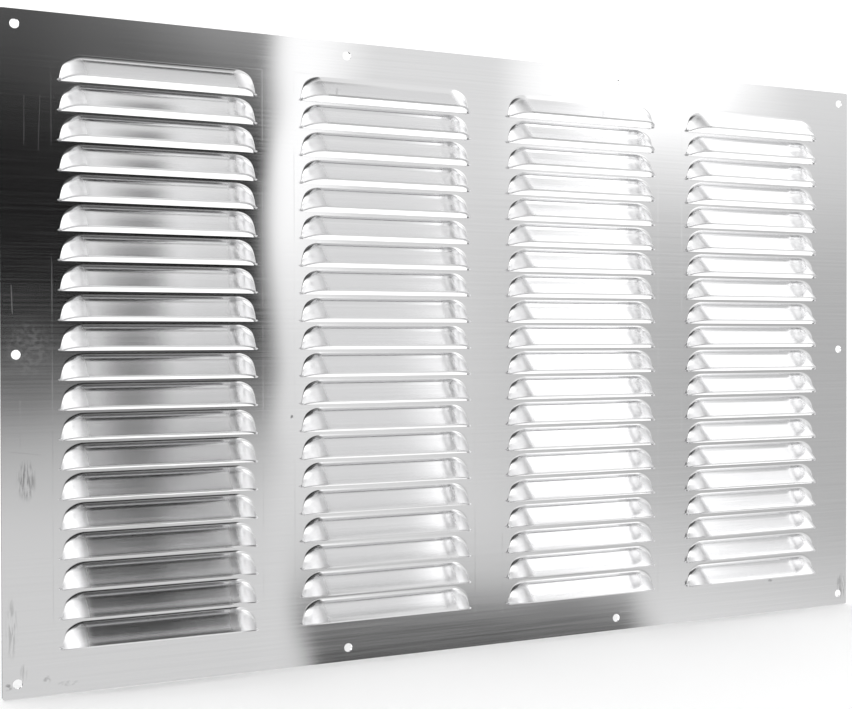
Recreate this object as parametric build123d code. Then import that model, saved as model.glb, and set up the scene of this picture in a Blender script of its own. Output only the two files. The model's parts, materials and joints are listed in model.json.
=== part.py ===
from build123d import *
from math import acos, cos, hypot, sin, sqrt
import os

# Louvred vent grille: one flat sheet of aluminium with screw holes round its rim and
# columns of louvres pressed out of its front, each slit along its lower edge.
# +X runs along the long edge, +Z is up and the louvres stand out towards -Y.
# The origin is the middle of the back face, the one that lies on the wall.

# Sheet
sheet_width = 480.0
sheet_height = 300.0
sheet_thickness = 1.0
corner_radius = 1.0

# Screw holes round the rim
hole_diameter = 4.2
hole_inset = 6.5            # from an edge to the hole centres
long_edge_hole_count = 4    # in the top row and in the bottom row
short_edge_hole_count = 3   # in each side row, its corner holes counted

# One louvre, seen from the front
louvre_length = 90.5        # along the slit
louvre_height = 10.0        # from the slit up to the bend
louvre_projection = 9.0     # of the lip, in front of the sheet
lip_rise = 2.2              # of the lip, above the slit
end_radius = 11.0           # of the rounded ends, across the slant
hollow_flat_count = 2       # in each end of the hollow behind it

# The field of louvres: as many as fit inside the plain rim
column_gap = 22.5
row_gap = 3.2
side_rim = 20.0             # least plain width left and right of the field
top_rim = 17.0              # least plain height above and below it

column_pitch = louvre_length + column_gap
row_pitch = louvre_height + row_gap
columns = int((sheet_width - 2 * side_rim + column_gap) // column_pitch)
rows = int((sheet_height - 2 * top_rim + row_gap) // row_pitch)

# The slanted face, carried on past the lip, would meet the level of the slit at this depth
tip_depth = louvre_projection / (1 - lip_rise / louvre_height)
slant_length = hypot(louvre_height, tip_depth)
slit_to_face = louvre_height * tip_depth / slant_length

# How far a rounded end reaches past the flat face, at the slit
end_reach = sqrt(end_radius**2 - (end_radius - slit_to_face) ** 2)
face_length = louvre_length - 2 * end_reach

# The hollow's end turns from the flat face down past the back edge of the slit
hollow_radius = end_radius - sheet_thickness
hollow_sweep = acos((hollow_radius - slit_to_face) / hollow_radius)


def slanted_bar(section):
    """Bar along the louvre's slant. Its section is centred on the axis of the rounded ends."""
    across_slant = Plane(
        origin=(0, -sheet_thickness, 0),
        x_dir=(1, 0, 0),
        z_dir=(0, -tip_depth, -louvre_height),
    )
    placed = across_slant * Pos(0, slit_to_face - end_radius) * section
    return extrude(placed, slant_length, both=True)


def louvre_outside():
    """Outer form of a louvre, from the back face to the plane that leads from slit to lip."""
    bar = slanted_bar(SlotCenterToCenter(face_length, 2 * end_radius))
    in_front = split(bar, bisect_by=Plane.XZ, keep=Keep.TOP)
    lip_plane = Plane(
        origin=(0, -sheet_thickness, 0),
        x_dir=(1, 0, 0),
        z_dir=(0, lip_rise, louvre_projection),
    )
    return split(in_front, bisect_by=lip_plane, keep=Keep.TOP)


def louvre_inside():
    """Hollow behind a louvre, one sheet thickness in, down to the lower edge of its slit.
    Each rounded end is a few flats on this hidden side."""
    turns = [hollow_sweep * step / hollow_flat_count for step in range(hollow_flat_count + 1)]
    right = [
        (face_length / 2 + hollow_radius * sin(turn), hollow_radius * cos(turn)) for turn in turns
    ]
    left = [(-x, y) for x, y in reversed(right)]
    bar = slanted_bar(Polygon(*left, *right, align=None))
    return split(bar, bisect_by=Plane.XY, keep=Keep.TOP)


def louvre_places():
    """Middle of each slit, on the back face."""
    first_slit = row_pitch * (rows - 1) / 2 - louvre_height / 2
    return [
        Pos((column - (columns - 1) / 2) * column_pitch, 0, first_slit - row * row_pitch)
        for column in range(columns)
        for row in range(rows)
    ]


def rim_places(count, length):
    """Hole centres along one edge, from corner hole to corner hole."""
    span = length - 2 * hole_inset
    return [span * (step / (count - 1) - 0.5) for step in range(count)]


def screw_places():
    """Every hole centre once, as (x, z)."""
    xs = rim_places(long_edge_hole_count, sheet_width)
    zs = rim_places(short_edge_hole_count, sheet_height)
    top_and_bottom = [(x, z) for x in xs for z in (zs[0], zs[-1])]
    sides = [(x, z) for x in (xs[0], xs[-1]) for z in zs[1:-1]]
    return top_and_bottom + sides


def louvred_sheet():
    blank = RectangleRounded(sheet_width, sheet_height, corner_radius)
    blank -= [Pos(x, z) * Circle(hole_diameter / 2) for x, z in screw_places()]
    sheet = extrude(Plane.XZ * blank, sheet_thickness)
    outside = louvre_outside()
    inside = louvre_inside()
    sheet += [place * outside for place in louvre_places()]
    sheet -= [place * inside for place in louvre_places()]
    return sheet


os.makedirs("parts", exist_ok=True)
export_step(louvred_sheet(), "parts/louvred_sheet.step")
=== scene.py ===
import json
import math
import bmesh
import bpy
from mathutils import Matrix, Vector


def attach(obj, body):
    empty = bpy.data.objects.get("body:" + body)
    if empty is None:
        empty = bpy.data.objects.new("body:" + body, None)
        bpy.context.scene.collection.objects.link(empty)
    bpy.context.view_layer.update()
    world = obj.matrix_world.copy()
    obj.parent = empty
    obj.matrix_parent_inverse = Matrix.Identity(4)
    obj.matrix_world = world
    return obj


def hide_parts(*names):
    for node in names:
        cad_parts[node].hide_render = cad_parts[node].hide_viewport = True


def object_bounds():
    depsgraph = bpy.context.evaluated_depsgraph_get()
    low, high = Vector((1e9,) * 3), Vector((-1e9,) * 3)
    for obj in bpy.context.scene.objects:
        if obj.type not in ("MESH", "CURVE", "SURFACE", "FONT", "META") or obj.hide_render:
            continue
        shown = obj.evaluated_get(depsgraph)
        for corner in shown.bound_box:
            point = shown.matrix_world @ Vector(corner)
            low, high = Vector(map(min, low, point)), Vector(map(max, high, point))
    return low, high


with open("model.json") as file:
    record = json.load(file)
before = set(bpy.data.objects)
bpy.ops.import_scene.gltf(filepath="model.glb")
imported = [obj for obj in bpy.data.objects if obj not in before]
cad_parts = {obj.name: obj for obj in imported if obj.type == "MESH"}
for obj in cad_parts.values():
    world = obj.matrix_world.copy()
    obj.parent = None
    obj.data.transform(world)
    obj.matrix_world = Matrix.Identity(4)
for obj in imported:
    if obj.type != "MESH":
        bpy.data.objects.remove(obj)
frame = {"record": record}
cadLow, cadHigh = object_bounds()
mounts = {mount["name"]: mount for mount in frame["record"]["mounts"]}
mm = 0.001
print("frame loaded")

# Node helpers, for shaders, the world and geometry nodes alike


def addNode(tree, kind, inputs=None, **settings):
    node = tree.nodes.new(kind)
    for name, value in settings.items():
        setattr(node, name, value)
    for key, value in (inputs or {}).items():
        if isinstance(value, bpy.types.NodeSocket):
            tree.links.new(value, node.inputs[key])
        else:
            node.inputs[key].default_value = value
    return node


def calc(tree, operation, *values, clamp=False):
    numbered = dict(enumerate(values))
    return addNode(tree, "ShaderNodeMath", numbered, operation=operation, use_clamp=clamp).outputs[0]


def vectorCalc(tree, operation, *values, result="Vector"):
    numbered = dict(enumerate(values))
    return addNode(tree, "ShaderNodeVectorMath", numbered, operation=operation).outputs[result]


def fade(tree, value, low, high, start=0.0, end=1.0):  # soft step from start at low to end at high
    ends = {"Value": value, "From Min": low, "From Max": high, "To Min": start, "To Max": end}
    return addNode(tree, "ShaderNodeMapRange", ends, interpolation_type="SMOOTHSTEP").outputs[0]


def fadeMm(tree, value, ends):  # the same between two places in mm
    return fade(tree, value, ends[0] * mm, ends[1] * mm)


def product(tree, *values):
    result = values[0]
    for value in values[1:]:
        result = calc(tree, "MULTIPLY", result, value)
    return result


def strongest(tree, masks):
    result = masks[0]
    for mask in masks[1:]:
        result = calc(tree, "MAXIMUM", result, mask)
    return result


def blend(tree, factor, first, second):  # number from first at factor 0 to second at factor 1
    ends = {"Factor": factor, "A": first, "B": second}
    return addNode(tree, "ShaderNodeMix", ends, data_type="FLOAT").outputs["Result"]


def blendColor(tree, factor, first, second, kind="MIX"):
    ends = {0: factor, 6: first, 7: second}
    return addNode(tree, "ShaderNodeMix", ends, data_type="RGBA", blend_type=kind).outputs[2]


def newGroup(name, kind, inputs, outputs):
    tree = bpy.data.node_groups.new(name, kind)
    for direction, sockets in (("INPUT", inputs), ("OUTPUT", outputs)):
        for socketName, socketType in sockets.items():
            tree.interface.new_socket(name=socketName, in_out=direction, socket_type=socketType)
    return tree, tree.nodes.new("NodeGroupInput"), tree.nodes.new("NodeGroupOutput")


def newMaterial(name):
    material = bpy.data.materials.new(name)
    material.use_nodes = True
    material.node_tree.nodes.clear()
    return material, material.node_tree


def finishedObject(name, mesh):
    data = bpy.data.meshes.new(name)
    mesh.to_mesh(data)
    mesh.free()
    made = bpy.data.objects.new(name, data)
    bpy.context.scene.collection.objects.link(made)
    return made


# Sizes of the sheet and of one louvre, in mm

sheet = {
    "node": "louvred_sheet",
    "slot": "mill_aluminium",
    "thickness": 1.0,
    "cornerRadius": 1.0,
    "cornerSteps": 5,
    "holeSteps": 40,
    "mergeGap": 0.01,
    "sharpAngle": 35.0,  # degrees, between smooth faces and a sharp edge
}
louvre = {
    "columns": 4,
    "rows": 20,
    "columnPitch": 113.0,
    "rowPitch": 13.2,
    "length": 90.5,
    "height": 10.0,      # slit to root
    "projection": (cadHigh.y - cadLow.y) / mm - sheet["thickness"],
    "lipRise": 2.2,
    "endRadius": 11.0,   # of the rounded ends, across the slant
    "endLead": 1.0,      # last bit of plain face before a rounded end
    "endSteps": 12,
    "lastTurn": 0.98,    # share of an end's turn at its last station, close to the tip
    "faceSteps": 4,
    "bend": 1.9,         # half width of the rounded root
    "bendShare": 0.8,    # most of the height that the bend takes near the ends of the slit
    "bendBlend": 3,      # the higher, the more suddenly the bend narrows towards the tips
    "bendSteps": 7,
    "collar": 0.3,       # narrow flat ring that keeps the shading of the sheet even
    "tipStretch": 3.0,   # most that the collar widens towards the tips
    "cellBelow": 0.8,    # flat part of the cell under the slit
}
firstSlit = louvre["rowPitch"] * (louvre["rows"] - 1) / 2 - louvre["height"] / 2

# Grain that both finishes share

rolling = {"detail": 3.0, "roughness": 0.6, "shade": (0.3, 0.7)}


def rollingGrainGroup():
    inputs = {"Along": "NodeSocketFloat", "Across": "NodeSocketFloat"}
    tree, given, result = newGroup("rollingGrain", "ShaderNodeTree", inputs, {"Streak": "NodeSocketFloat"})
    coords = addNode(tree, "ShaderNodeTexCoord").outputs["Object"]
    along, across = given.outputs["Along"], given.outputs["Across"]
    scale = addNode(tree, "ShaderNodeCombineXYZ", {"X": along, "Y": across, "Z": across}).outputs[0]
    noise = addNode(tree, "ShaderNodeTexNoise", {
        "Vector": vectorCalc(tree, "MULTIPLY", coords, scale),
        "Scale": 1.0,
        "Detail": rolling["detail"],
        "Roughness": rolling["roughness"],
    })
    tree.links.new(noise.outputs["Fac"], result.inputs["Streak"])
    return tree


grainGroup = rollingGrainGroup()


def grainStreak(tree, along, across):
    values = {"Along": along, "Across": across}
    return addNode(tree, "ShaderNodeGroup", values, node_tree=grainGroup).outputs["Streak"]


# Handling marks, in mm across and up the sheet

marks = {
    "smudges": [  # place, size, kind of noise, strength
        ((-229.5, -55.0), (5.0, 10.5), "streaky", 0.5),
        ((-236.0, -119.0), (3.0, 17.0), "streaky", 0.3),
        ((-237.5, -144.5), (2.2, 2.0), "mottled", 0.6),
        ((-221.0, -143.0), (2.2, 2.4), "mottled", 0.4),
        ((-212.0, -145.5), (6.0, 1.6), "mottled", 0.3),
        ((-231.0, -139.0), (2.0, 5.0), "streaky", 0.3),
        ((236.0, -139.0), (4.5, 9.0), "streaky", 0.6),
        ((183.0, -131.5), (2.2, 1.6), "mottled", 0.6),
        ((-106.5, -30.5), (1.0, 1.3), "mottled", 0.9),
        ((-228.0, 2.0), (12.0, 16.0), "mottled", 0.25),
    ],
    "noise": {"streaky": (1100.0, 0.0, 150.0), "mottled": (450.0, 0.0, 450.0)},  # per metre
    "noiseDetail": 2.0,
    "breakup": (0.42, 0.62),  # noise at which a smudge starts, and is full
    "softFrom": 0.35,         # share of a smudge's size at which it starts to fade
    "scratches": [  # from, to, half width
        ((-236.3, -42.2), (-223.6, -44.0), 0.30),
        ((-231.9, -19.7), (-232.0, -40.2), 0.30),
        ((-229.6, 112.8), (-229.7, 91.1), 0.28),
        ((-222.8, 113.3), (-223.7, 89.3), 0.26),
        ((-235.4, 30.0), (-235.0, 18.0), 0.35),
        ((80.5, -140.6), (93.3, -140.9), 0.40),
        ((-65.0, 149.0), (-63.5, 134.0), 0.35),
    ],
    "scratchDepth": 0.45,
    "tint": (0.38, 0.38, 0.38),
    "roughen": 0.16,
    "frontFrom": (-0.6, -0.9),   # depths between which the marks come in, and end above the face
    "flatTo": (-1.15, -1.05),
}


def blotGroup():  # soft spot on the sheet, broken up by a given noise
    inputs = {"Place": "NodeSocketVector", "Size": "NodeSocketVector", "Breakup": "NodeSocketFloat"}
    tree, given, result = newGroup("blot", "ShaderNodeTree", inputs, {"Mask": "NodeSocketFloat"})
    coords = addNode(tree, "ShaderNodeTexCoord").outputs["Object"]
    away = vectorCalc(tree, "SUBTRACT", coords, given.outputs["Place"])
    share = vectorCalc(tree, "DIVIDE", away, given.outputs["Size"])
    reach = vectorCalc(tree, "LENGTH", share, result="Value")
    inside = fade(tree, reach, marks["softFrom"], 1.0, 1.0, 0.0)
    tree.links.new(product(tree, inside, given.outputs["Breakup"]), result.inputs["Mask"])
    return tree


def scratchGroup():  # thin straight line between two points of the sheet
    inputs = {"Start": "NodeSocketVector", "End": "NodeSocketVector", "Width": "NodeSocketFloat"}
    tree, given, result = newGroup("scratch", "ShaderNodeTree", inputs, {"Mask": "NodeSocketFloat"})
    coords = addNode(tree, "ShaderNodeTexCoord").outputs["Object"]
    start, end = given.outputs["Start"], given.outputs["End"]
    offset = vectorCalc(tree, "SUBTRACT", coords, start)
    run = vectorCalc(tree, "SUBTRACT", end, start)
    dots = [vectorCalc(tree, "DOT_PRODUCT", vector, run, result="Value") for vector in (offset, run)]
    along = calc(tree, "DIVIDE", *dots, clamp=True)
    nearest = addNode(tree, "ShaderNodeVectorMath", {0: run, "Scale": along}, operation="SCALE").outputs[0]
    gap = vectorCalc(tree, "DISTANCE", offset, nearest, result="Value")
    line = calc(tree, "SUBTRACT", 1.0, calc(tree, "DIVIDE", gap, given.outputs["Width"]), clamp=True)
    tree.links.new(line, result.inputs["Mask"])
    return tree


blotTree, scratchTree = blotGroup(), scratchGroup()


def onSheet(place):  # mm across and up, on the front face
    return (place[0] * mm, -sheet["thickness"] * mm, place[1] * mm)


def smudgeMask(tree, place):
    breakup = {}
    for kind, scale in marks["noise"].items():
        noise = addNode(tree, "ShaderNodeTexNoise", {
            "Vector": vectorCalc(tree, "MULTIPLY", place, scale),
            "Scale": 1.0,
            "Detail": marks["noiseDetail"],
        })
        breakup[kind] = fade(tree, noise.outputs["Fac"], *marks["breakup"])
    masks = []
    for spot, size, kind, strength in marks["smudges"]:
        reach = (size[0] * mm, 1.0, size[1] * mm)
        values = {"Place": onSheet(spot), "Size": reach, "Breakup": breakup[kind]}
        blot = addNode(tree, "ShaderNodeGroup", values, node_tree=blotTree)
        masks.append(calc(tree, "MULTIPLY", blot.outputs["Mask"], strength))
    return strongest(tree, masks)


def scratchMask(tree):
    masks = []
    for start, end, width in marks["scratches"]:
        values = {"Start": onSheet(start), "End": onSheet(end), "Width": width * mm}
        masks.append(addNode(tree, "ShaderNodeGroup", values, node_tree=scratchTree).outputs["Mask"])
    return strongest(tree, masks)


# Faint outline that the press tool left round each column of louvres, in mm

toolMark = {
    "half": 48.6,
    "top": 133.2,
    "bottom": -134.5,
    "lineWidth": 0.45,
    "strength": 0.35,
    "wearScale": 35.0,     # noise per metre
    "wearDetail": 2.0,
    "wear": (0.35, 0.65),  # noise at which the line starts to show, and is full
}


def fromColumn(tree, x):  # distance from the middle of the nearest column of louvres
    pitch = louvre["columnPitch"] * mm
    farLeft = (10 + louvre["columns"] / 2) * pitch  # the remainder is only right above zero
    within = calc(tree, "MODULO", calc(tree, "ADD", x, farLeft), pitch)
    return calc(tree, "ABSOLUTE", calc(tree, "SUBTRACT", within, pitch / 2))


def toolMarkMask(tree, place, x, z, across):
    half, width = toolMark["half"] * mm, toolMark["lineWidth"] * mm
    top, bottom = toolMark["top"] * mm, toolMark["bottom"] * mm
    fieldHalf = louvre["columns"] / 2 * louvre["columnPitch"] * mm
    inField = calc(tree, "LESS_THAN", calc(tree, "ABSOLUTE", x), fieldHalf)
    inHeight = product(tree, calc(tree, "LESS_THAN", z, top), calc(tree, "GREATER_THAN", z, bottom))
    sideGap = calc(tree, "ABSOLUTE", calc(tree, "SUBTRACT", across, half))
    topGap = calc(tree, "ABSOLUTE", calc(tree, "SUBTRACT", z, top))
    side = product(tree, fade(tree, sideGap, 0.0, width, 1.0, 0.0), inHeight)
    upper = product(tree, fade(tree, topGap, 0.0, width, 1.0, 0.0), calc(tree, "LESS_THAN", across, half))
    noise = addNode(tree, "ShaderNodeTexNoise", {
        "Vector": place,
        "Scale": toolMark["wearScale"],
        "Detail": toolMark["wearDetail"],
    })
    worn = fade(tree, noise.outputs["Fac"], *toolMark["wear"])
    return product(tree, calc(tree, "MAXIMUM", side, upper), inField, worn, toolMark["strength"])


# Bare rolled face of the sheet

rolled = {
    "color": (0.85, 0.85, 0.855),
    "paleColor": (0.885, 0.885, 0.89),
    "roughness": 0.075,
    "grainRoughness": 0.02,
    "anisotropy": 0.96,
    "pressedFrom": (-1.0, -2.0),  # mm, depths where the stretched metal of the louvres comes in
    "pressedRoughness": 0.115,
    "endFrom": (31.0, 37.5),      # mm from the middle of a louvre, where its rounded end comes in
    "endRoughness": 0.36,         # stretched most
    "endAnisotropy": 0.3,
    "grainAlong": 9.0,            # noise per metre along the long edge
    "grainAcross": 900.0,
    "grainHeight": 0.0005,        # mm
    "wave": 12.0,                 # slow buckling of the sheet, per metre
    "waveDetail": 1.0,
    "waveHeight": 0.35,           # mm
}


def rolledAluminium():
    material, tree = newMaterial("rolledAluminium")
    place = addNode(tree, "ShaderNodeTexCoord").outputs["Object"]
    split = addNode(tree, "ShaderNodeSeparateXYZ", {"Vector": place})
    x, y, z = (split.outputs[axis] for axis in "XYZ")
    across = fromColumn(tree, x)
    streak = grainStreak(tree, rolled["grainAlong"], rolled["grainAcross"])
    shade = fade(tree, streak, *rolling["shade"])

    flat = product(tree, fadeMm(tree, y, marks["frontFrom"]), fadeMm(tree, y, marks["flatTo"]))
    dirt = product(tree, smudgeMask(tree, place), flat)
    lines = product(tree, scratchMask(tree), flat, marks["scratchDepth"])
    imprint = product(tree, toolMarkMask(tree, place, x, z, across), flat)

    metal = blendColor(tree, shade, (*rolled["color"], 1.0), (*rolled["paleColor"], 1.0))
    marked = blendColor(tree, dirt, metal, (*marks["tint"], 1.0), "MULTIPLY")

    pressed = fadeMm(tree, y, rolled["pressedFrom"])
    atEnds = product(tree, pressed, fadeMm(tree, across, rolled["endFrom"]))
    smoothness = blend(tree, pressed, rolled["roughness"], rolled["pressedRoughness"])
    smoothness = blend(tree, atEnds, smoothness, rolled["endRoughness"])
    worked = calc(tree, "MULTIPLY_ADD", shade, rolled["grainRoughness"], smoothness)
    rough = calc(tree, "MULTIPLY_ADD", strongest(tree, [lines, imprint, dirt]), marks["roughen"], worked)

    wave = addNode(tree, "ShaderNodeTexNoise", {
        "Vector": place,
        "Scale": rolled["wave"],
        "Detail": rolled["waveDetail"],
    })
    buckling = calc(tree, "MULTIPLY", wave.outputs["Fac"], rolled["waveHeight"])
    height = calc(tree, "ADD", buckling, calc(tree, "MULTIPLY", streak, rolled["grainHeight"]))
    bump = addNode(tree, "ShaderNodeBump", {"Height": height, "Strength": 1.0, "Distance": mm})
    upward = addNode(tree, "ShaderNodeCombineXYZ", {"Z": 1.0}).outputs[0]

    surface = addNode(tree, "ShaderNodeBsdfPrincipled", {
        "Base Color": marked,
        "Roughness": rough,
        "Metallic": 1.0,
        "Anisotropic": blend(tree, atEnds, rolled["anisotropy"], rolled["endAnisotropy"]),
        "Normal": bump.outputs["Normal"],
        "Tangent": upward,  # blur runs across the grain
    })
    addNode(tree, "ShaderNodeOutputMaterial", {"Surface": surface.outputs[0]})
    return material


# Sheared edges, with tear marks that run through the thickness, and a dark colour that is partly painted
# shade

sheared = {
    # dark base: rough sheared metal, darkened further as painted shade for the shade that falls on the cut
    # edges between the louvres
    "color": (0.3, 0.3, 0.31),
    "paleColor": (0.5, 0.5, 0.51),
    "roughness": 0.34,
    "tornRoughness": 0.44,
    "tearsAlong": 1400.0,  # noise per metre
    "tearsAcross": 90.0,
    "tearDepth": 0.05,     # mm
    "tearStrength": 0.5,
}


def shearedAluminiumWithPaintedShade():
    material, tree = newMaterial("shearedAluminiumWithPaintedShade")
    streak = grainStreak(tree, sheared["tearsAlong"], sheared["tearsAcross"])
    shade = fade(tree, streak, *rolling["shade"])
    bump = addNode(tree, "ShaderNodeBump", {
        "Height": streak,
        "Strength": sheared["tearStrength"],
        "Distance": sheared["tearDepth"] * mm,
    })
    surface = addNode(tree, "ShaderNodeBsdfPrincipled", {
        "Base Color": blendColor(tree, shade, (*sheared["color"], 1.0), (*sheared["paleColor"], 1.0)),
        "Roughness": blend(tree, shade, sheared["roughness"], sheared["tornRoughness"]),
        "Metallic": 1.0,
        "Normal": bump.outputs["Normal"],
    })
    addNode(tree, "ShaderNodeOutputMaterial", {"Surface": surface.outputs[0]})
    return material


faceMetal, edgeMetal = rolledAluminium(), shearedAluminiumWithPaintedShade()
print("metal ready")

# One louvre with the flat cell of sheet round it, in mm: x along the slit, z up from it, y out of the front


def louvreStations(radius, slitToFace):  # each x along the slit, with the turn of the rounded end there
    sweep = math.acos(1 - slitToFace / radius)
    flatHalf = louvre["length"] / 2 - radius * math.sin(sweep)
    turns = [sweep * step / louvre["endSteps"] for step in range(louvre["endSteps"])]
    turns.append(sweep * louvre["lastTurn"])
    face = [(x, 0.0) for x in (flatHalf / 2, flatHalf - louvre["endLead"])]
    right = face + [(flatHalf + radius * math.sin(turn), turn) for turn in turns]
    return [(-x, turn) for x, turn in reversed(right)] + [(0.0, 0.0)] + right


def louvreColumns():  # one list of points for each x: lip, slanted face, bend and collar
    height, rise, radius = louvre["height"], louvre["lipRise"], louvre["endRadius"]
    tip = louvre["projection"] / (1 - rise / height)
    slitToFace = height * tip / math.hypot(height, tip)
    power = -louvre["bendBlend"]
    columns = []
    for x, turn in louvreStations(radius, slitToFace):
        root = height * (1 - radius * (1 - math.cos(turn)) / slitToFace)
        stretch = math.hypot(1.0, height / slitToFace * math.tan(turn))
        widest, most = louvre["bend"] * stretch, louvre["bendShare"] * root
        bend = (widest**power + most**power) ** (1 / power)  # narrows smoothly towards the tips
        lip = rise / height * root
        points = []
        for step in range(louvre["faceSteps"]):
            z = lip + (root - bend - lip) * step / louvre["faceSteps"]
            points.append((x, tip / height * (root - z), z))
        for step in range(louvre["bendSteps"]):
            share = 2 * step / (louvre["bendSteps"] - 1) - 1
            points.append((x, tip / height * bend * (1 - share) ** 2 / 4, root + bend * share))
        points.append((x, 0.0, root + bend + louvre["collar"] * min(stretch, louvre["tipStretch"])))
        columns.append(points)
    return columns


def louvreCell():
    columns = louvreColumns()
    mesh = bmesh.new()

    def vertex(x, out, z):
        return mesh.verts.new((x * mm, -(sheet["thickness"] + out) * mm, z * mm))

    half = louvre["length"] / 2
    grid = [[vertex(*point) for point in column] for column in columns]
    slit = [vertex(column[0][0], 0.0, 0.0) for column in columns]
    tips = [vertex(side * half, 0.0, 0.0) for side in (-1, 1)]
    overTips = [vertex(side * half, 0.0, louvre["tipStretch"] * louvre["collar"]) for side in (-1, 1)]
    besideTips = [vertex(side * (half + louvre["collar"]), 0.0, 0.0) for side in (-1, 1)]
    wide = louvre["columnPitch"] / 2
    low = -louvre["cellBelow"]
    high = low + louvre["rowPitch"]
    lowLeft, lowRight = vertex(-wide, 0.0, low), vertex(wide, 0.0, low)
    highLeft, highRight = vertex(-wide, 0.0, high), vertex(wide, 0.0, high)

    for left, right in zip(grid, grid[1:]):
        for row in range(len(left) - 1):
            mesh.faces.new((left[row], right[row], right[row + 1], left[row + 1]))
    outermost = (grid[0], grid[-1])
    for side, column, tip, beside, over in zip((-1, 1), outermost, tips, besideTips, overTips):
        for row in range(len(column) - 2):
            mesh.faces.new((tip, column[row], column[row + 1])[::-side])
        mesh.faces.new((tip, column[-2], column[-1], over)[::-side])
        mesh.faces.new((tip, beside, over)[::side])
    collar = [besideTips[0], overTips[0], *(column[-1] for column in grid), overTips[1], besideTips[1]]
    mesh.faces.new((highLeft, *collar, highRight))
    mesh.faces.new((lowLeft, lowRight, besideTips[1], tips[1], *reversed(slit), tips[0], besideTips[0]))
    mesh.faces.new((highLeft, lowLeft, besideTips[0]))
    mesh.faces.new((highRight, besideTips[1], lowRight))
    return finishedObject("louvreCell", mesh)


# Plain rim of the sheet, with its screw holes, round the field of louvre cells


def closedLoop(mesh, points):
    verts = [mesh.verts.new((x * mm, -sheet["thickness"] * mm, z * mm)) for x, z in points]
    for first, second in zip(verts, verts[1:] + verts[:1]):
        mesh.edges.new((first, second))


def sheetOutline():
    width, height = (cadHigh.x - cadLow.x) / mm, (cadHigh.z - cadLow.z) / mm
    radius, steps = sheet["cornerRadius"], sheet["cornerSteps"]
    points = []
    for corner, (sideX, sideZ) in enumerate(((1, 1), (-1, 1), (-1, -1), (1, -1))):
        for step in range(steps + 1):
            turn = math.radians(90 * (corner + step / steps))
            points.append((
                sideX * (width / 2 - radius) + radius * math.cos(turn),
                sideZ * (height / 2 - radius) + radius * math.sin(turn),
            ))
    return points


def fieldOutline():
    wide = louvre["columnPitch"] * louvre["columns"] / 2
    low = firstSlit - louvre["cellBelow"] - louvre["rowPitch"] * (louvre["rows"] - 1)
    high = firstSlit - louvre["cellBelow"] + louvre["rowPitch"]
    xs = [-wide + louvre["columnPitch"] * step for step in range(louvre["columns"] + 1)]
    zs = [low + louvre["rowPitch"] * step for step in range(louvre["rows"] + 1)]
    points = [(x, low) for x in xs] + [(wide, z) for z in zs[1:-1]]
    return points + [(x, high) for x in reversed(xs)] + [(-wide, z) for z in reversed(zs[1:-1])]


def screwHoles():
    for name in ("corner_holes", "edge_holes", "side_holes"):
        dims = mounts[name]["dims"]
        offX, offZ = dims["spacing_x_mm"] / 2, dims.get("spacing_y_mm", 0.0) / 2
        for x, z in sorted({(sideX * offX, sideZ * offZ) for sideX in (-1, 1) for sideZ in (-1, 1)}):
            yield x, z, dims["hole_r_mm"]


def sheetRim():
    mesh = bmesh.new()
    closedLoop(mesh, sheetOutline())
    closedLoop(mesh, fieldOutline())
    turns = [2 * math.pi * step / sheet["holeSteps"] for step in range(sheet["holeSteps"])]
    for x, z, radius in screwHoles():
        closedLoop(mesh, [(x + radius * math.cos(turn), z + radius * math.sin(turn)) for turn in turns])
    bmesh.ops.triangle_fill(mesh, edges=mesh.edges[:], use_beauty=True, normal=(0, -1, 0))
    for face in mesh.faces:
        if face.normal.y > 0:
            face.normal_flip()
    return finishedObject("sheetRim", mesh)


def louvreFieldTree():
    inputs = {
        "Geometry": "NodeSocketGeometry",
        "Louvre": "NodeSocketObject",
        "Columns": "NodeSocketInt",
        "Rows": "NodeSocketInt",
        "Column Pitch": "NodeSocketFloat",
        "Row Pitch": "NodeSocketFloat",
        "Middle": "NodeSocketVector",
        "Material": "NodeSocketMaterial",
    }
    outputs = {"Geometry": "NodeSocketGeometry"}
    tree, given, result = newGroup("louvreField", "GeometryNodeTree", inputs, outputs)
    sizes = []
    for count, pitch in (("Columns", "Column Pitch"), ("Rows", "Row Pitch")):
        gaps = calc(tree, "SUBTRACT", given.outputs[count], 1.0)
        sizes.append(calc(tree, "MULTIPLY", gaps, given.outputs[pitch]))
    grid = addNode(tree, "GeometryNodeMeshGrid", {
        "Size X": sizes[0],
        "Size Y": sizes[1],
        "Vertices X": given.outputs["Columns"],
        "Vertices Y": given.outputs["Rows"],
    })
    upright = addNode(tree, "GeometryNodeTransform", {
        "Geometry": grid.outputs["Mesh"],
        "Translation": given.outputs["Middle"],
        "Rotation": (math.radians(90), 0.0, 0.0),
    })
    cell = addNode(tree, "GeometryNodeObjectInfo", {"Object": given.outputs["Louvre"]})
    field = addNode(tree, "GeometryNodeInstanceOnPoints", {
        "Points": upright.outputs[0],
        "Instance": cell.outputs["Geometry"],
    })
    joined = addNode(tree, "GeometryNodeJoinGeometry")
    tree.links.new(field.outputs[0], joined.inputs[0])
    tree.links.new(given.outputs["Geometry"], joined.inputs[0])
    real = addNode(tree, "GeometryNodeRealizeInstances", {"Geometry": joined.outputs[0]})
    merged = addNode(tree, "GeometryNodeMergeByDistance", {
        "Geometry": real.outputs[0],
        "Distance": sheet["mergeGap"] * mm,
    })
    finished = addNode(tree, "GeometryNodeSetMaterial", {
        "Geometry": merged.outputs[0],
        "Material": given.outputs["Material"],
    })
    tree.links.new(finished.outputs[0], result.inputs["Geometry"])
    return tree


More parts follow.
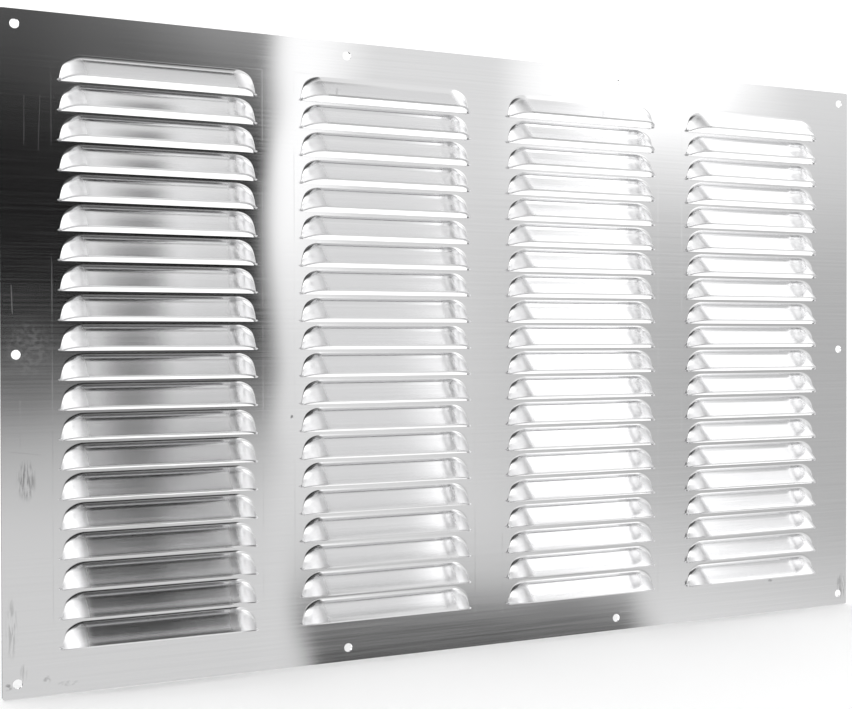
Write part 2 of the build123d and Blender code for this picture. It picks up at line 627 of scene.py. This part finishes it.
def louvredSheet():
    cell, rim = louvreCell(), sheetRim()
    for metal in (faceMetal, edgeMetal):
        rim.data.materials.append(metal)
    repeat = rim.modifiers.new("louvreField", "NODES")
    repeat.node_group = louvreFieldTree()
    lastSlit = firstSlit - louvre["rowPitch"] * (louvre["rows"] - 1)
    values = {
        "Louvre": cell,
        "Columns": louvre["columns"],
        "Rows": louvre["rows"],
        "Column Pitch": louvre["columnPitch"] * mm,
        "Row Pitch": louvre["rowPitch"] * mm,
        "Middle": (0.0, 0.0, (firstSlit + lastSlit) / 2 * mm),
        "Material": faceMetal,
    }
    for socket in repeat.node_group.interface.items_tree:
        if socket.in_out == "INPUT" and socket.name in values:
            repeat[socket.identifier] = values[socket.name]
    gauge = rim.modifiers.new("gauge", "SOLIDIFY")
    gauge.thickness = sheet["thickness"] * mm
    gauge.offset = -1.0
    gauge.use_rim = True
    gauge.material_offset_rim = 1

    bpy.context.view_layer.update()
    evaluated = rim.evaluated_get(bpy.context.evaluated_depsgraph_get())
    data = bpy.data.meshes.new_from_object(evaluated)
    data.materials.clear()
    for metal in (faceMetal, edgeMetal):
        data.materials.append(metal)
    for face in data.polygons:
        face.use_smooth = True
    data.set_sharp_from_angle(angle=math.radians(sheet["sharpAngle"]))
    for helper in (cell, rim):
        bpy.data.objects.remove(helper)
    made = bpy.data.objects.new("louvredSheet", data)
    bpy.context.scene.collection.objects.link(made)
    return made


piece = louvredSheet()
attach(piece, "root")
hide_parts(sheet["node"])
print("louvred sheet:", len(piece.data.polygons), "faces")

# Stage: pale floor under the lower edge, and a light tent that is open and dark towards the camera

stage = {
    "floorColor": (0.93, 0.93, 0.93, 1.0),
    "floorHalf": 4000.0,  # mm
    "floorGap": 0.4,      # mm under the sheet
    "paintedShadowGap": 0.2,
    # painted shadow: a black sheet that stands in for the sheet's shadow on the floor behind it
    "paintedShadowCorners": ((-500, 3), (-95, 3), (60, 1200), (-500, 1200)),  # mm, across and away
    "paintedShadowColor": (0.01, 0.01, 0.01, 1.0),
}


def stageFace(name, corners, gap, color):  # level face, gap mm under the sheet's lower edge
    mesh = bmesh.new()
    mesh.faces.new([mesh.verts.new((x * mm, y * mm, cadLow.z - gap * mm)) for x, y in corners])
    made = finishedObject(name, mesh)
    material, tree = newMaterial(name)
    surface = addNode(tree, "ShaderNodeBsdfDiffuse", {"Color": color})
    addNode(tree, "ShaderNodeOutputMaterial", {"Surface": surface.outputs[0]})
    made.data.materials.append(material)
    return made


def paleFloor():
    half = stage["floorHalf"]
    corners = ((-half, -half), (half, -half), (half, half), (-half, half))
    floor = stageFace("paleFloor", corners, stage["floorGap"], stage["floorColor"])
    floor.visible_glossy = False  # the tent below stands for it in the metal


def darkCloth():  # painted shadow: a black sheet on the floor behind the left end, standing in for the sheet's own shadow there, seen only in the metal
    shadowSheet = stageFace("darkCloth", stage["paintedShadowCorners"], stage["paintedShadowGap"], stage["paintedShadowColor"])
    shadowSheet.visible_camera = False
    shadowSheet.visible_diffuse = False
    shadowSheet.visible_shadow = False
    shadowSheet.visible_transmission = False


paleFloor()
darkCloth()

# The tent by direction: x to the right, y away from the camera side, z up.
# A light is a number, a ramp (axis, from, to, light at from, light at to), or a base with patches over it.
# A patch is its light, then the ramps (axis, none at, full at) that it lies within.

tent = {
    "room": 1.2,          # for all but the mirrored rays
    "plain": 0.86,
    "backlight": 1.9,
    "near": ("y", -0.2, -0.42),
    "lean": -0.7,         # of the backlight's edge, x for z, above leanFrom
    "leanFrom": -0.02,
    "tableSlope": 0.25,   # of the table's far edge, z for x
    "tableLevel": 0.1125,
}

# Seen through the slits and in the hollows of the louvres
backdrop = {
    "base": ("x", 0.25, 0.3, 1.2, 0.9),
    "patches": [
        (tent["backlight"], [("lean", 0.43, 0.475)]),
        (0.65, [("z", -0.06, -0.14), ("x", 0.55, 0.66)]),                                  # its weak foot
        (0.3, [("x", 0.205, 0.24), ("x", 0.262, 0.25), ("z", -0.16, -0.1)]),               # narrow post
        (0.0, [("z", -0.06, -0.14), ("z", -0.26, -0.21), ("x", 0.36, 0.27), ("x", 0.13, 0.17)]),  # low box
        (tent["backlight"], [("x", 0.15, 0.08)]),
        (0.02, [("x", -0.26, -0.18), ("x", 0.06, -0.02), ("z", -0.17, -0.12)]),            # dark screen
    ],
}

# Pale beside the opening, darkest half way up
rightWall = {
    "base": ("x", 0.36, 0.62, 0.82, 0.5),
    "patches": [
        (0.82, [("z", 0.03, 0.17)]),
        (1.2, [("x", 0.4, 0.345), ("z", 0.0, 0.1)]),
        (tent["plain"], [("x", 0.72, 0.95)]),
    ],
}

# Dark, with a paler ceiling low above it
opening = {
    "base": 0.002,
    "patches": [
        (("x", 0.14, 0.36, 0.13, 0.6), [("z", 0.135, 0.28)]),
        (0.06, [("z", 0.28, 0.42), ("z", 0.66, 0.5), ("x", 0.4, 0.3)]),
    ],
}

tentLight = {
    "base": tent["plain"],
    "patches": [
        (backdrop, [("y", 0.3, 0.6)]),
        (rightWall, [tent["near"], ("x", 0.2, 0.3), ("z", 0.35, 0.22)]),
        (("x", 0.3, 0.4, 0.72, 0.84), [("tableEdge", -0.06, -0.19), tent["near"]]),        # white table
        (1.6, [("x", 0.5, 0.57), ("y", 0.45, 0.3), ("z", 0.4, 0.55)]),                     # softbox, right
        (1.7, [("x", -0.3, -0.42), ("y", 0.3, 0.1), ("z", 0.2, 0.4)]),                     # softbox, left
        (0.03, [("x", 0.42, 0.3), ("x", -0.1, 0.05), ("y", 0.1, -0.02), ("y", -0.24, -0.16),
                ("z", 0.75, 0.88)]),                                                       # strip overhead
        (1.35, [("x", 0.47, 0.52), ("x", 0.66, 0.6), ("z", 0.1, 0.17), tent["near"]]),     # lamp, right
        (opening, [tent["near"], ("x", 0.339, 0.320), ("x", -0.3, -0.1), ("z", -0.13, 0.0),
                   ("z", 0.92, 0.75)]),
        (0.06, [("z", -0.173, -0.195), ("x", 0.337, 0.35), ("x", 0.575, 0.55), tent["near"]]),  # gap below
    ],
}


def lightOf(tree, axes, light):
    if isinstance(light, tuple):
        axis, *ramp = light
        return fade(tree, axes[axis], *ramp)
    if not isinstance(light, dict):
        return light
    result = lightOf(tree, axes, light["base"])
    for patch, ramps in light["patches"]:
        mask = product(tree, *(lightOf(tree, axes, ramp) for ramp in ramps))
        result = blend(tree, mask, result, lightOf(tree, axes, patch))
    return result


def lightTent():
    world = bpy.data.worlds.new("lightTent")
    bpy.context.scene.world = world
    world.use_nodes = True
    tree = world.node_tree
    tree.nodes.clear()
    direction = addNode(tree, "ShaderNodeTexCoord").outputs["Generated"]
    split = addNode(tree, "ShaderNodeSeparateXYZ", {"Vector": direction})
    axes = {axis: split.outputs[axis.upper()] for axis in "xyz"}
    lifted = calc(tree, "MAXIMUM", axes["z"], tent["leanFrom"])
    axes["lean"] = calc(tree, "MULTIPLY_ADD", lifted, tent["lean"], axes["x"])
    level = calc(tree, "SUBTRACT", axes["z"], tent["tableLevel"])
    axes["tableEdge"] = calc(tree, "MULTIPLY_ADD", axes["x"], tent["tableSlope"], level)
    rays = addNode(tree, "ShaderNodeLightPath")
    strength = blend(tree, rays.outputs["Is Glossy Ray"], tent["room"], lightOf(tree, axes, tentLight))
    background = addNode(tree, "ShaderNodeBackground", {"Color": (1.0, 1.0, 1.0, 1.0), "Strength": strength})
    addNode(tree, "ShaderNodeOutputWorld", {"Surface": background.outputs[0]})


lightTent()

view = {
    "place": (-328.5, -602.3, 6.8),  # mm
    "yaw": 25.98,
    "pitch": -0.69,
    "roll": -0.1,
    "lens": 56.66,
    "sensor": 36.0,
}


def photoCamera():
    yaw, pitch, roll = (math.radians(view[name]) for name in ("yaw", "pitch", "roll"))
    ahead = Vector((math.sin(yaw) * math.cos(pitch), math.cos(yaw) * math.cos(pitch), math.sin(pitch)))
    level = Vector((math.cos(yaw), -math.sin(yaw), 0.0))
    right = level * math.cos(roll) + level.cross(ahead) * math.sin(roll)
    up = right.cross(ahead)
    data = bpy.data.cameras.new("photoCamera")
    data.lens, data.sensor_width = view["lens"], view["sensor"]
    camera = bpy.data.objects.new("photoCamera", data)
    bpy.context.scene.collection.objects.link(camera)
    turned = Matrix((right, up, -ahead)).transposed().to_4x4()
    camera.matrix_world = Matrix.Translation(Vector(view["place"]) * mm) @ turned
    bpy.context.scene.camera = camera


photoCamera()
bpy.context.scene.view_settings.view_transform = "Standard"
print("stage and camera ready")
